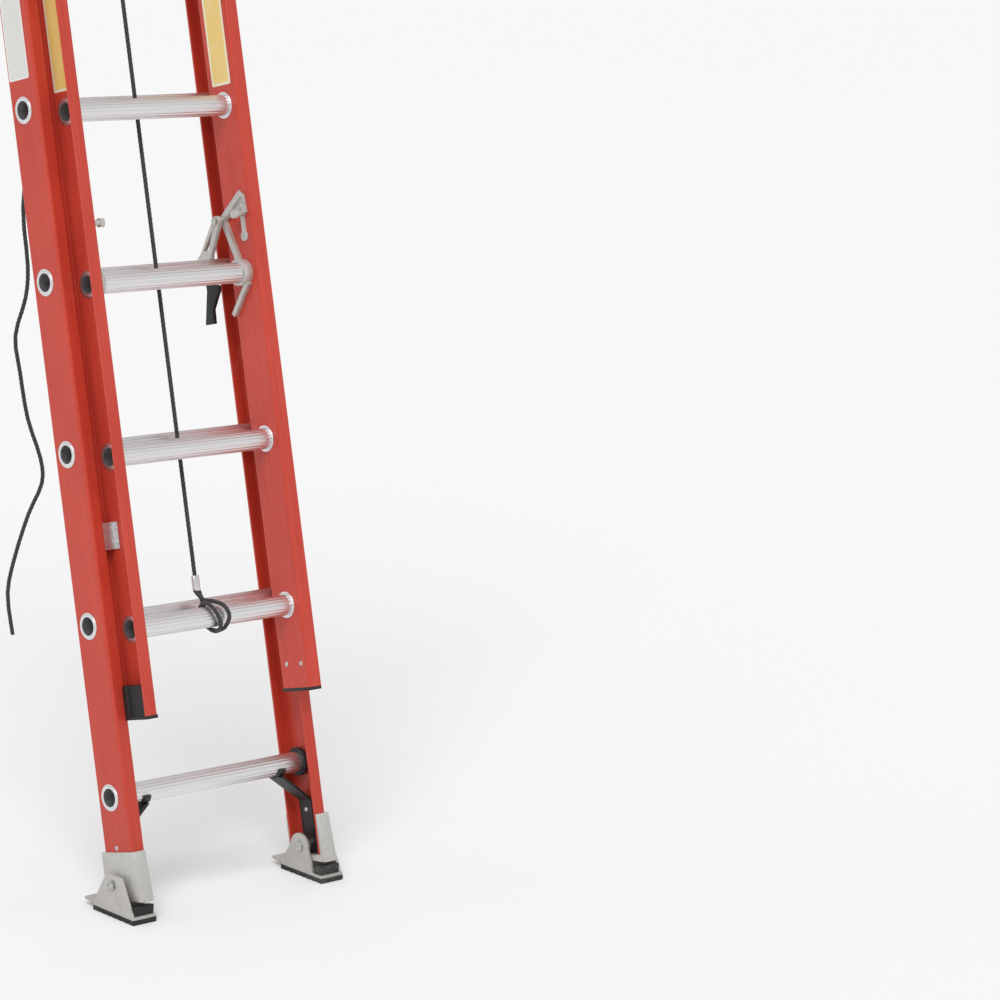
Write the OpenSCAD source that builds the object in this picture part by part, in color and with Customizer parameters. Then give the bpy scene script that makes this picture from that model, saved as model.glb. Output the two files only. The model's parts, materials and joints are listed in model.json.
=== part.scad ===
// Two-section extension ladder with fibreglass rails, leaning at its working angle.
// The frame: X across the ladder, +Y towards the wall side, +Z up, origin on the floor between the feet.
// The sections are drawn in a "rail frame", whose z runs up the rails, and lean() sets them on the feet.

/* [Stance] */
// Angle of the rails from the vertical
lean_angle = 14.5; // [0:0.1:20]

/* [Sections] */
// Width over the base section's rails
base_w = 445; // [370:1:560]
// Distance from rung to rung
rung_pitch = 304.8; // [250:0.1:370]
// Height of the lowest rung over the rail frame's origin
first_rung = 158; // [130:0.5:200]
// How far the base rails reach below the rail frame's origin
rail_drop = 14; // [8:0.5:18]
// How far a fly rung lies below the base rung beside it
rung_lag = 13.4; // [5:0.1:20]
// Length of fly rail below its lowest rung
fly_tail = 152.4; // [120:0.1:190]

/* [Rails] */
// Depth of a base rail, front to back
base_web = 82; // [68:0.5:100]
// Depth of a fly rail, front to back
fly_web = 80; // [66:0.5:100]
// Width of a base rail's flanges
base_flange = 25; // [20:0.5:34]
// Width of a fly rail's flanges
fly_flange = 25.5; // [20:0.5:34]
// Thickness of the fibreglass
rail_t = 4; // [3:0.1:5]
// Outer corner radius of a rail
rail_r = 5; // [4:0.5:7]
// How far the fly flange tips lie inside the base webs' outer faces
fly_inset = 22; // [18:0.5:27]
// Gap between the fly rails and the base rungs behind them
rung_clear = 6; // [4:0.5:8]
// How far the base rungs lie behind the middle of the rails
rung_back = 4; // [0:0.5:6]

/* [Rungs] */
// Radius of a rung
rung_r = 19; // [15.5:0.5:23]
// Wall of a rung tube
rung_t = 2.2; // [1.6:0.1:3]
// Width of the swaged ring round a rung's end
swage_w = 4.6; // [3:0.1:6]
// How far a swaged ring stands off its web
swage_h = 3.4; // [2:0.1:5]

/* [Feet] */
// Length of a foot's rubber pad
pad_l = 116; // [96:1:140]
// Thickness of a rubber pad
pad_t = 9; // [7:0.5:12]
// Inner face of a shoe, from the middle of the ladder, inside the flange tips
shoe_gap = 1.5; // [1:0.1:3]
// Thickness of a shoe's ears
ear_t = 5; // [4:0.5:6]
// How far a shoe stands outside the base web
shoe_out = 19.5; // [14:0.5:26]
// Thickness of a shoe's sole plate
sole_t = 5; // [4:0.5:8]
// Reach of the ice spur behind the pad
spur_l = 34; // [20:1:40]
// How far the foot bolt lies behind the middle of the rail
bolt_back = 8; // [0:0.5:12]
// How far the foot bolt lies above the rail frame's origin
bolt_up = 4; // [0:0.5:10]
// Radius of a foot bolt
bolt_r = 6; // [4:0.5:7]
// Height of a boot's top edge over the rail frame's origin
boot_top = 61; // [45:1:80]
// Wall of a boot
boot_t = 4; // [3:0.5:6]

/* [Locks] */
// Height of the hook's pin over that rung
hook_up = 85; // [70:1:102]
// How far the hook's pin lies in front of that rung
hook_fore = 30; // [25:1:34]
// Outer radius of the hook's head
hook_r = 29; // [26:1:32]
// Thickness of a hook
hook_t = 9; // [6:0.5:12]
// Radius of a lock's pins
pin_r = 4; // [3:0.5:5]
// Length of the flipper below its pin
flipper_l = 112; // [80:1:120]

/* [Rope and pulley] */
// Diameter of the rope
rope_d = 8; // [6:0.5:10]
// Pitch radius of the pulley's groove
wheel_pitch_r = 30; // [28:0.5:34]
// Width of the pulley wheel
wheel_w = 14; // [12:0.5:18]
// Height of the wheel's middle over the base's top rung
wheel_up = 60; // [56:1:72]

/* [Hidden] */
$fn = 48;
// clearances
fit = 0.1;                                  // a piece in its own seat
plug_fit = 0.4;                             // a square-cornered plug in a rail's rounded channel
run = 0.4;                                  // pieces that slide or turn past each other
// counts: one node is listed for each rung, so these stay as they are
rung_count = 8;
lock_rung = 4;                              // base rung that the locks hook over
fly_step = 1;                               // rungs from the lowest base rung to the lowest fly rung
section_l = rung_count * rung_pitch;
foot_h = pad_t + sole_t + 40;               // floor to the rail frame's origin
// places across the ladder
web_out = base_w / 2;                       // outer face of a base web
web_in = web_out - rail_t;                  // inner face of a base web
tip_in = web_out - base_flange;             // tips of the base flanges
fly_tip = web_out - fly_inset;              // tips of the fly flanges
fly_in = fly_tip - fly_flange;              // inner face of a fly web
fly_out = fly_in + rail_t;                  // outer face of a fly web
// places front to back in the rail frame, +y to the rear
base_front = -base_web / 2;
fly_rear = rung_back - rung_r - rung_clear;
fly_front = fly_rear - fly_web;
fly_mid = (fly_rear + fly_front) / 2;
// places along the rails
base_low = -rail_drop;
base_high = base_low + section_l;
fly_first = first_rung + fly_step * rung_pitch - rung_lag;
fly_low = fly_first - fly_tail;
fly_high = fly_low + section_l;
top_rung = first_rung + (rung_count - 1) * rung_pitch;
lock_z = first_rung + (lock_rung - 1) * rung_pitch;
lock_fly_z = lock_z - rung_lag;
// foot
bolt = [bolt_back, bolt_up];
boot_low_front = base_low - 14;             // boot's lower edge, front and rear
boot_low_rear = base_low - 6;
boot_flare = 8;                             // how much a boot grows forwards at its lower edge
boot_out = web_out + boot_t;
shoe_x0 = tip_in - shoe_gap - ear_t;
shoe_x1 = web_out + shoe_out;
ear_r = 24;                                 // round top of a shoe's inner ear
pad_front = -pad_l / 2;
pad_rear = pad_l / 2;
sole_top = pad_t + sole_t;
groove_w = 5;                               // grooves across a pad's underside
groove_h = 2.5;
toe_back = 18;                              // depth of the toe block, front to back
toe_h = 17;                                 // height of the toe block over the sole plate
stud_r = 5;                                 // studs that tie the toe block to the pad
stud_at = [for (t = [0.3, 0.7]) [shoe_x0 + t * (shoe_x1 - shoe_x0), pad_front + 6 + toe_back / 2]];
head_r = 10;                                // head of a foot bolt
head_t = 3.5;
// rivets
rivet_r = 2.4;
dome_r = rivet_r + 2.3;
dome_h = 1.8;
// brace from the lowest rung's underside down the inside of the rail
brace_t = 4;
brace_w = 34;
brace_x1 = web_in - fit;
brace_x0 = brace_x1 - 62;
brace_z = first_rung - 74;                  // where the strap meets the rail
brace_rivet_at = [rung_back, boot_top + 7];
collar_x1 = web_in - swage_h - fit;         // collar round the lowest rung
collar_w = 9.5;
// guides and caps
cap_t = 5;                                  // plate over a rail's end
plug_l = 18;                                // plug below that plate
guide_top = base_high - 20;
guide_h = 0.785 * (guide_top - top_rung - rung_r - swage_w);    // a share of the rail above the top rung's ring
guide_z = guide_top - guide_h;
guide_rivet_x = web_out - 10;
guide_rivet_z = [for (t = [0.21, 0.79]) guide_z + t * guide_h];
fly_guide_h = 54;
fly_cap_t = 6;
fly_guide_rivet_at = [for (y = [20, -21]) [fly_mid + y, fly_low + 44]];
clip_z = fly_first + 143;
clip_h = 48;
clip_t = 2;
clip_y = base_front - 1.5;
clip_rivet_at = [for (z = [12, clip_h - 12]) [clip_y - 10, clip_z + z]];
// lock
hook_x0 = fly_in - 25;                      // inner face of a hook
flipper_x0 = hook_x0 + hook_t + run;
flipper_t = 7;
bracket_t = 3.5;
bracket_x0 = fly_in - bracket_t;
hook_pin = [rung_back - hook_fore, lock_z + hook_up];
seat_r = rung_r + run;                      // hook on its rung
flip_pin = [rung_back + hook_r + 6, lock_z + 14];
knuckle = [fly_mid - 11, lock_fly_z - 21];  // bend of a bracket's rib under the fly rung
lock_rivet_at = [for (p = [[-12, 117], [-24, 125], [-15, 64]]) [fly_mid + p[0], lock_fly_z + p[1]]];
rib_w = 11;
rib_h = 9;                                  // a rib's height over the fly web
// pulley
wheel_z = top_rung + wheel_up;
rope_y = (rung_back - rung_r + fly_mid + rung_r) / 2;   // midway between the rows of rungs
wheel_y = rope_y + wheel_pitch_r;
wheel_rim_r = wheel_pitch_r + rope_d / 2;
groove_r = wheel_pitch_r - rope_d / 2 - run;
cheek_gap = wheel_w / 2 + 0.5;
cheek_t = 3;
axle_r = 5;
clamp_t = 3;
clamp_w = 34;
// rope
eye_r = rung_r + rope_d / 2 + run;          // bend of the rope's eye round the lowest fly rung
leg_x = 3.8;                                // the eye's two legs under the ferrule
leg_r = 3.7;
ferrule_l = 28;
ferrule_z = fly_first + 48;
run_z0 = ferrule_z + ferrule_l;
rope_sides = 8;
function lerp(a, b, t) = a + (b - a) * t;
// From the rail frame to the ladder's own frame.
function world(p) = [
    p[0],
    p[1] * cos(lean_angle) + p[2] * sin(lean_angle),
    foot_h - p[1] * sin(lean_angle) + p[2] * cos(lean_angle)];
bolt_world = world([0, bolt[0], bolt[1]]);
foot_bolt = [bolt_world[1], bolt_world[2]];
wheel_at = world([0, wheel_y, wheel_z]);
tail_y = wheel_at[1] + wheel_pitch_r;
// The tail hangs from the wheel's rear: X, offset in Y, and height as a share of the wheel's height.
tail_route = [for (p = [
    [0, 0, 0.944], [0, 0, 0.88], [0, 0, 0.815], [2, 1, 0.751], [4, 2, 0.687], [0, 2, 0.622],
    [-8, 1, 0.558], [-20, 0, 0.502], [-6, 0, 0.455], [-10, -1, 0.429], [-32, -2, 0.399],
    [-18, 0, 0.369], [4, 2, 0.33], [36, 2, 0.296], [40, 1, 0.275], [10, 0, 0.251],
    [-20, -1, 0.217], [-34, 0, 0.187], [-20, 0, 0.152]]) [p[0], tail_y + p[1], p[2] * wheel_at[2]]];
// The same rope over the top of the wheel, from front to rear.
wrap_steps = 10;
wrap = [for (i = [0 : wrap_steps])
    let (a = lerp(180 - lean_angle, 0, i / wrap_steps))
    [0, wheel_at[1] + wheel_pitch_r * cos(a), wheel_at[2] + wheel_pitch_r * sin(a)]];

// ---- helpers ----

// Sets the rail frame on the feet at the working angle.
module lean() { translate([0, 0, foot_h]) rotate([-lean_angle, 0, 0]) children(); }

// The children are drawn for the right rail; side is 1 for right and -1 for left.
module on_side(side) { if (side > 0) children(); else mirror([1, 0, 0]) children(); }

// Both sides at once.
module both_sides() { for (side = [1, -1]) on_side(side) children(); }

// A cylinder along X from x0 to x1 about a point in y and z.
module rod(x0, x1, yz, r) { translate([x0, yz[0], yz[1]]) rotate([0, 90, 0]) cylinder(r = r, h = x1 - x0); }

// Extrudes a y-z outline from x0 to x1.
module slab(x0, x1) { translate([x0, 0, 0]) rotate([90, 0, 90]) linear_extrude(x1 - x0) children(); }

// A box from one corner to the other.
module block(a, b) { translate(a) cube(b - a); }

// A straight bar of width w from a to b, square-ended a little beyond both.
module strip(a, b, w) {
    over = w / 2 - 1;
    translate(a) rotate(atan2(b[1] - a[1], b[0] - a[0])) translate([-over, -w / 2]) square([norm(b - a) + 2 * over, w]);
}

// A rivet along X from x0 to x1 with a flat head at x0, and another at x1 if it goes right through.
module rivet(x0, x1, yz, through = true) {
    rod(x0, x1, yz, rivet_r);
    rod(x0 - dome_h, x0, yz, dome_r);
    if (through) rod(x1, x1 + dome_h, yz, dome_r);
}

// Channel outline with its web on x = 0 and its flanges towards +x.
module channel(web, flange, t, r) {
    inner = r - t;
    difference() {
        union() {
            translate([r, -web / 2]) square([flange - r, web]);
            translate([0, -web / 2 + r]) square([r + 0.01, web - 2 * r]);
            for (s = [-1, 1]) translate([r, s * (web / 2 - r)]) circle(r);
        }
        translate([t + inner, -web / 2 + t]) square([flange, web - 2 * t]);
        translate([t, -web / 2 + t + inner]) square([inner + 0.01, web - 2 * t - 2 * inner]);
        for (s = [-1, 1]) translate([t + inner, s * (web / 2 - t - inner)]) circle(inner);
    }
}

// Swaged ring on a web's face, growing along +X from x = 0.
module swage_ring() {
    rotate([0, 90, 0]) rotate_extrude()
        polygon([
            [rung_r + fit, 0], [rung_r + swage_w, 0], [rung_r + swage_w, swage_h * 0.4],
            [rung_r + swage_w - 1.6, swage_h], [rung_r + fit, swage_h]]);
}

// One rung: a tube along X.
module rung(half_l, yz) {
    difference() {
        rod(-half_l, half_l, yz, rung_r);
        rod(-half_l - 1, half_l + 1, yz, rung_r - rung_t);
    }
}

// Points of a ring of a swept tube about p, square to the direction d.
function unit(v) = v / norm(v);
function ring_at(p, d, side, r, n) =
    let (t = unit(d), b = unit(cross(t, side)), c = cross(b, t))
    [for (i = [0 : n - 1]) p + r * (cos(360 * i / n) * c + sin(360 * i / n) * b)];

// A smooth curve through the route's points, a few steps to each span.
function spline_point(p0, p1, p2, p3, t) =
    0.5 * (2 * p1 + (p2 - p0) * t + (2 * p0 - 5 * p1 + 4 * p2 - p3) * t * t
        + (3 * p1 - p0 - 3 * p2 + p3) * t * t * t);
function smooth(route, steps) = concat(
    [for (i = [0 : len(route) - 2], k = [0 : steps - 1])
        let (a = route[max(i - 1, 0)], d = route[min(i + 2, len(route) - 1)])
        spline_point(a, route[i], route[i + 1], d, k / steps)],
    [route[len(route) - 1]]);

// A closed tube swept along points that stay roughly in one plane; side is that plane's normal.
module tube(points, r, side, n = rope_sides) {
    last = len(points) - 1;
    rings = [for (i = [0 : last])
        ring_at(points[i], points[min(i + 1, last)] - points[max(i - 1, 0)], side, r, n)];
    polyhedron(
        points = [for (q = rings, p = q) p],
        faces = concat(
            [[for (k = [0 : n - 1]) k]],
            [for (i = [0 : last - 1], k = [0 : n - 1])
                [i * n + k, (i + 1) * n + k, (i + 1) * n + (k + 1) % n, i * n + (k + 1) % n]],
            [[for (k = [n - 1 : -1 : 0]) last * n + k]]));
}

// ---- base section ----

module base_rail(side) color("#c44a3a") lean() on_side(side)
    difference() {
        translate([web_out, 0, base_low]) linear_extrude(section_l) mirror([1, 0, 0])
            channel(base_web, base_flange, rail_t, rail_r);
        for (i = [0 : rung_count - 1])
            rod(web_in - 1, web_out + 1, [rung_back, first_rung + i * rung_pitch], rung_r + fit);
        rod(web_in - 1, web_out + 1, bolt, bolt_r + fit);
        rod(web_in - 1, web_out + 1, brace_rivet_at, rivet_r + fit);
        for (z = guide_rivet_z)
            translate([guide_rivet_x, base_front - 1, z]) rotate([-90, 0, 0]) cylinder(r = rivet_r + fit, h = rail_t + 2);
    }

module base_rung(i) color("#c9cbcd") lean()
    rung(web_out + swage_h, [rung_back, first_rung + (i - 1) * rung_pitch]);

module base_swages() color("#b9bcc0") lean() both_sides()
    for (i = [0 : rung_count - 1]) translate([0, rung_back, first_rung + i * rung_pitch]) {
        translate([web_out, 0, 0]) swage_ring();
        translate([web_in, 0, 0]) mirror([1, 0, 0]) swage_ring();
    }

// Cast boot round a rail's lower end, open towards the ladder's middle.
module boot(side) color("#b7b8ba") lean() on_side(side)
    difference() {
        union() {
            slab(tip_in, boot_out)
                polygon([
                    [base_front - boot_t, boot_top], [-base_front + boot_t, boot_top],
                    [-base_front + boot_t, boot_low_rear], [base_front - boot_t - boot_flare, boot_low_front]]);
            rod(boot_out - 1, shoe_x1 - ear_t - run, bolt, 13);
        }
        block([tip_in - 1, base_front - fit, base_low - fit], [web_out + fit, -base_front + fit, boot_top + 1]);
        rod(tip_in, shoe_x1, bolt, bolt_r + fit);
    }

module foot_bolts() color("#8d9094") lean() both_sides() {
    rod(shoe_x0, shoe_x1 + 2.5, bolt, bolt_r);
    rod(shoe_x0 - head_t, shoe_x0, bolt, head_r);
}

// Low round nut on a shoe's outer face.
module foot_nuts() color("#8d9094") lean() both_sides()
    difference() {
        rod(shoe_x1 + fit, shoe_x1 + 3, bolt, head_r - 1.5);
        rod(shoe_x1, shoe_x1 + 4, bolt, bolt_r + fit);
    }

// Tube that keeps the bolt from crushing the open channel.
module foot_spacers() color("#9da0a3") lean() both_sides()
    difference() {
        rod(tip_in, web_in - brace_t - 2 * fit, bolt, 10);
        rod(tip_in - 1, web_in, bolt, bolt_r + fit);
    }

// Black strap with a saddle under the lowest rung; it runs down the inside of the rail to the foot.
module brace(side) color("#242426") lean() on_side(side)
    difference() {
        union() {
            difference() {
                rod(brace_x0 - 8, brace_x0 + 6, [rung_back, first_rung], rung_r + 4);
                block([brace_x0 - 9, rung_back - 40, first_rung - rung_r / 3], [brace_x0 + 7, rung_back + 40, first_rung + 40]);
            }
            translate([0, rung_back + brace_w / 2, 0]) rotate([90, 0, 0]) linear_extrude(brace_w)
                polygon([
                    [brace_x0 - 6, first_rung - rung_r - 2], [brace_x0 + 3, first_rung - rung_r - 2],
                    [brace_x1, brace_z + 4], [brace_x1, base_low + 1], [brace_x1 - brace_t, base_low + 1],
                    [brace_x1 - brace_t, brace_z + 1.5]]);
        }
        rod(brace_x0 - 9, brace_x0 + 9, [rung_back, first_rung], rung_r + fit);
        rod(brace_x1 - brace_t - 1, brace_x1 + 1, bolt, bolt_r + fit);
        rod(brace_x1 - brace_t - 1, brace_x1 + 1, brace_rivet_at, rivet_r + fit);
    }

module brace_rivets() color("#9b9da0") lean() both_sides()
    rivet(brace_x1 - brace_t, web_out, brace_rivet_at);

// Black collar on the lowest rung, against the rail.
module brace_collars() color("#1f1f21") lean() both_sides()
    difference() {
        rod(collar_x1 - collar_w, collar_x1, [rung_back, first_rung], rung_r + 7);
        rod(collar_x1 - collar_w - 1, collar_x1 + 1, [rung_back, first_rung], rung_r + fit);
    }

module base_top_caps() color("#1f1f21") lean() both_sides()
    translate([0, 0, base_high])
        union() {
            translate([web_out, 0, 0]) linear_extrude(cap_t) mirror([1, 0, 0])
                channel(base_web, base_flange, rail_t, rail_r);
            block(
                [tip_in, fly_rear + 4, -plug_l],
                [web_in - plug_fit, base_web / 2 - rail_t - plug_fit, cap_t]);
            block([web_in - 1, fly_rear + 4, 0], [web_in + 1, base_web / 2 - rail_t, cap_t]);
            block([tip_in, base_web / 2 - rail_t - 1, 0], [web_in, base_web / 2 - rail_t + 1, cap_t]);
        }

// Guide block at the base's top: it holds the fly's rear flange.
module base_top_guides() color("#a9abad") lean() both_sides()
    difference() {
        block(
            [fly_out + 1, base_front + rail_t + plug_fit, guide_z],
            [web_in - plug_fit, fly_rear + 7, guide_z + guide_h]);
        block([fly_out, fly_rear - rail_t - run, guide_z - 1], [fly_tip + run, fly_rear + run, guide_z + guide_h + 1]);
        for (z = guide_rivet_z)
            translate([guide_rivet_x, base_front - 1, z]) rotate([-90, 0, 0]) cylinder(r = rivet_r + fit, h = 20);
    }

module guide_rivets() color("#9b9da0") lean() both_sides()
    for (z = guide_rivet_z) translate([guide_rivet_x, base_front, z]) {
        rotate([-90, 0, 0]) cylinder(r = rivet_r, h = 12);
        rotate([90, 0, 0]) cylinder(r = dome_r, h = dome_h);
    }

// ---- pulley ----

module pulley_bracket() color("#a5a8ab") lean()
    difference() {
        for (s = [-1, 1]) {
            x0 = s > 0 ? cheek_gap : -cheek_gap - cheek_t;
            slab(x0, x0 + cheek_t)
                polygon([
                    [rung_back - 15, top_rung + rung_r - 4], [rung_back + 15, top_rung + rung_r - 4],
                    [wheel_y + 12, wheel_z + 4], [wheel_y + 6, wheel_z + 12],
                    [wheel_y - 6, wheel_z + 12], [wheel_y - 12, wheel_z + 4]]);
        }
        rod(-40, 40, [rung_back, top_rung], rung_r + clamp_t + fit);
        rod(-40, 40, [wheel_y, wheel_z], axle_r + fit);
    }

// Split band that grips the top rung and carries the cheeks.
module pulley_clamp() color("#8f9296") lean()
    difference() {
        union() {
            rod(-clamp_w / 2, clamp_w / 2, [rung_back, top_rung], rung_r + clamp_t);
            block(
                [-clamp_w / 2, rung_back - 7, top_rung - rung_r - 16],
                [clamp_w / 2, rung_back + 7, top_rung - rung_r]);
        }
        rod(-clamp_w, clamp_w, [rung_back, top_rung], rung_r + fit);
        block(
            [-clamp_w, rung_back - 1, top_rung - rung_r - 20],
            [clamp_w, rung_back + 1, top_rung - rung_r + 4]);
        for (x = [-10, 10])
            translate([x, rung_back - 20, top_rung - rung_r - 9]) rotate([-90, 0, 0]) cylinder(r = 2.6, h = 40);
    }

module pulley_axle() color("#8d9094") lean() {
    half = cheek_gap + cheek_t;
    rod(-half - 2.5, half + 2.5, [wheel_y, wheel_z], axle_r);
    for (s = [-1, 1]) {
        x0 = s > 0 ? half + 0.2 : -half - 2.7;
        rod(x0, x0 + 2.5, [wheel_y, wheel_z], axle_r + 3);
    }
}

module pulley_wheel() color("#2c2c2e") lean()
    translate([0, wheel_y, wheel_z]) rotate([0, 90, 0]) rotate_extrude($fn = 96) {
        half = wheel_w / 2;
        lip = rope_d / 2 + run;
        difference() {
            polygon([
                [axle_r + run / 2, -half], [wheel_rim_r, -half], [wheel_rim_r, -lip - 0.6], [groove_r, -lip * 0.75],
                [groove_r, lip * 0.75], [wheel_rim_r, lip + 0.6], [wheel_rim_r, half], [axle_r + run / 2, half]]);
            for (s = [-1, 1]) translate([axle_r + 5, s > 0 ? half - 2 : -half - 1]) square([groove_r - axle_r - 9, 3]);
        }
    }

// ---- fly section ----

module fly_rail(side) color("#cb5546") lean() on_side(side)
    difference() {
        translate([fly_in, fly_mid, fly_low]) linear_extrude(section_l)
            channel(fly_web, fly_flange, rail_t, rail_r);
        for (i = [0 : rung_count - 1])
            rod(fly_in - 1, fly_out + 1, [fly_mid, fly_first + i * rung_pitch], rung_r + fit);
        for (p = lock_rivet_at) rod(fly_in - 1, fly_out + 1, p, rivet_r + fit);
        for (p = fly_guide_rivet_at) rod(fly_in - 1, fly_out + 1, p, rivet_r + fit);
        for (p = clip_rivet_at) rod(fly_in + 1, fly_out + 1, p, rivet_r + fit);
    }

module fly_rung(i) color("#d2d4d6") lean()
    rung(fly_out + swage_h, [fly_mid, fly_first + (i - 1) * rung_pitch]);

module fly_swages() color("#b9bcc0") lean() both_sides()
    for (i = [0 : rung_count - 1]) translate([0, fly_mid, fly_first + i * rung_pitch]) {
        translate([fly_out, 0, 0]) swage_ring();
        if (i != lock_rung - fly_step - 1) translate([fly_in, 0, 0]) mirror([1, 0, 0]) swage_ring();
    }

// Black plug in the fly rail's lower end, with jaws round the base rail's front flange.
module fly_guide(side) color("#1f1f21") lean() on_side(side)
    difference() {
        union() {
            block(
                [fly_out + plug_fit, fly_front + rail_t + plug_fit, fly_low],
                [fly_tip - 4, fly_rear - rail_t - plug_fit, fly_low + fly_guide_h]);
            block(
                [fly_out + plug_fit, base_front - 16, fly_low - fly_cap_t],
                [tip_in + 4, fly_rear - rail_t - plug_fit, fly_low + fly_guide_h]);
            block([fly_in, fly_front, fly_low - fly_cap_t], [fly_tip, fly_rear, fly_low]);
        }
        block(
            [tip_in - run, base_front - run, fly_low - fly_cap_t - 1],
            [web_out, base_front + rail_t + run, fly_low + fly_guide_h + 1]);
        for (p = fly_guide_rivet_at) rod(fly_out, fly_out + 9, p, rivet_r + fit);
    }

module fly_guide_rivets() color("#9b9da0") lean() both_sides()
    for (p = fly_guide_rivet_at) rivet(fly_in, fly_out + 8, p, false);

module fly_top_caps() color("#1f1f21") lean() both_sides()
    translate([0, 0, fly_high])
        union() {
            translate([fly_in, fly_mid, 0]) linear_extrude(cap_t) channel(fly_web, fly_flange, rail_t, rail_r);
            block(
                [fly_out + plug_fit, fly_front + rail_t + plug_fit, -plug_l],
                [fly_tip, fly_rear - rail_t - plug_fit, cap_t]);
            block([fly_out - 1, fly_front + rail_t - 1, 0], [fly_tip, fly_rear - rail_t + 1, cap_t]);
        }

// Bright clip part way up the fly rail, lying in front of the base flange.
module rail_clips() color("#c4c6c8") lean() both_sides() {
    x1 = fly_out + fit + clip_t;
    difference() {
        union() {
            block([fly_out + fit, clip_y - 17, clip_z], [x1, clip_y, clip_z + clip_h]);
            block([fly_out + fit, clip_y - clip_t, clip_z], [tip_in + 3, clip_y, clip_z + clip_h]);
        }
        for (p = clip_rivet_at) rod(fly_out - 1, x1 + 1, p, rivet_r + fit);
    }
    for (p = clip_rivet_at) {
        rod(fly_in + 1 + fit, x1 + fit, p, rivet_r);
        rod(x1 + fit, x1 + fit + dome_h, p, dome_r - 1);
    }
}

// ---- rung locks ----

// Bracket riveted on the fly web's inner face: saddled on a fly rung, it carries the hook's pin on a bent rib.
module lock_bracket(side) color("#b4b6b9") lean() on_side(side)
    difference() {
        union() {
            slab(bracket_x0, fly_in) {
                // head plate, high at the front; a knob stands on it towards the ladder's middle
                polygon([
                    [fly_mid - 30, lock_fly_z + 106], [fly_mid - 27, lock_fly_z + 138], [fly_mid - 15, lock_fly_z + 148],
                    [hook_pin[0] + 7, hook_pin[1] + 11], [hook_pin[0] + 7, hook_pin[1] - 4],
                    [fly_mid + 8, lock_fly_z + 106], [fly_mid - 12, lock_fly_z + 112]]);
                // tab hung from the head, and a thin post from the rib's top to the saddle
                strip([fly_mid - 16, lock_fly_z + 66], [fly_mid - 16, lock_fly_z + 112], 10);
                translate([fly_mid - 15, lock_fly_z + 64]) circle(9);
                strip([hook_pin[0] - 7, hook_pin[1] - 8], [fly_mid + 16, lock_fly_z + 14], 5);
            }
            slab(fly_in - rib_h, fly_in) {
                strip(hook_pin, knuckle, rib_w);
                strip(knuckle, [fly_mid + 35, lock_fly_z - 72], rib_w - 2);
                strip([fly_mid - 18, lock_fly_z + 138], hook_pin, rib_w - 3);
                translate(hook_pin) circle(pin_r + 4);
            }
            rod(bracket_x0 - 14, fly_in, [fly_mid, lock_fly_z], rung_r + 5);
            rod(fly_in - 20, fly_in, [fly_mid - 21, lock_fly_z + 105], 5);
            rod(fly_in - 28, fly_in - 19, [fly_mid - 21, lock_fly_z + 105], 8);
        }
        rod(bracket_x0 - 15, fly_in + 1, [fly_mid, lock_fly_z], rung_r + fit);
        rod(fly_in - rib_h - 1, fly_in + 1, hook_pin, pin_r + fit);
        for (p = lock_rivet_at) rod(bracket_x0 - 1, fly_in + 1, p, rivet_r + fit);
    }

module lock_pins() color("#8d9094") lean() both_sides() {
    rod(hook_x0 - 3, fly_in - fit, hook_pin, pin_r);
    rod(hook_x0 - 3 - 2, hook_x0 - 3, hook_pin, pin_r + 2.5);
}

module lock_rivets() color("#9b9da0") lean() both_sides()
    for (p = lock_rivet_at) rivet(bracket_x0, fly_out, p);

// Coil spring round each hook's pin.
module lock_springs() color("#7d8a80") lean() both_sides() {
    turns = 2;
    x0 = hook_x0 + hook_t + 1.6;
    x1 = fly_in - rib_h - 1.2;
    r = pin_r + 2.4;
    tube(
        [for (i = [0 : 12 * turns])
            [lerp(x0, x1, i / (12 * turns)), hook_pin[0] + r * cos(30 * i), hook_pin[1] + r * sin(30 * i)]],
        0.8, [1, 0, 0], 6);
}

// Hook over the base rung, hung on its pin.
module lock_hook(side) color("#a0a2a5") lean() on_side(side)
    difference() {
        union() {
            rod(hook_x0, hook_x0 + hook_t, hook_pin, pin_r + 5.5);
            slab(hook_x0, hook_x0 + hook_t)
                polygon([
                    [hook_pin[0] - 8, hook_pin[1] - 5], [hook_pin[0] + 4, hook_pin[1] + 8.6],
                    [rung_back + 24, lock_z + 32], [flip_pin[0] + 4, flip_pin[1] + 6],
                    [rung_back + hook_r, lock_z], [rung_back, lock_z], [rung_back - 5, lock_z + hook_r - 3]]);
            rod(hook_x0, hook_x0 + hook_t, flip_pin, 8);
            rod(hook_x0, flipper_x0 + flipper_t + 0.5, flip_pin, pin_r);
            rod(flipper_x0 + flipper_t + 0.4, flipper_x0 + flipper_t + 2, flip_pin, pin_r + 2);
        }
        rod(hook_x0 - 1, hook_x0 + hook_t + 1, [rung_back, lock_z], seat_r);
        block(
            [hook_x0 - 1, rung_back - 40, lock_z - 40],
            [hook_x0 + hook_t + 1, rung_back + seat_r, lock_z - 2]);
        block(
            [hook_x0 - 1, rung_back - 40, lock_z - 40],
            [hook_x0 + hook_t + 1, rung_back - 6, lock_z + rung_r - 2]);
        rod(hook_x0 - 1, hook_x0 + hook_t + 1, hook_pin, pin_r + fit);
        slab(hook_x0 - 1, hook_x0 + hook_t + 1)
            polygon([
                [hook_pin[0] + 9, hook_pin[1] - 11], [rung_back + 15, lock_z + 36], [rung_back + 1, lock_z + 34]]);
    }

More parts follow.
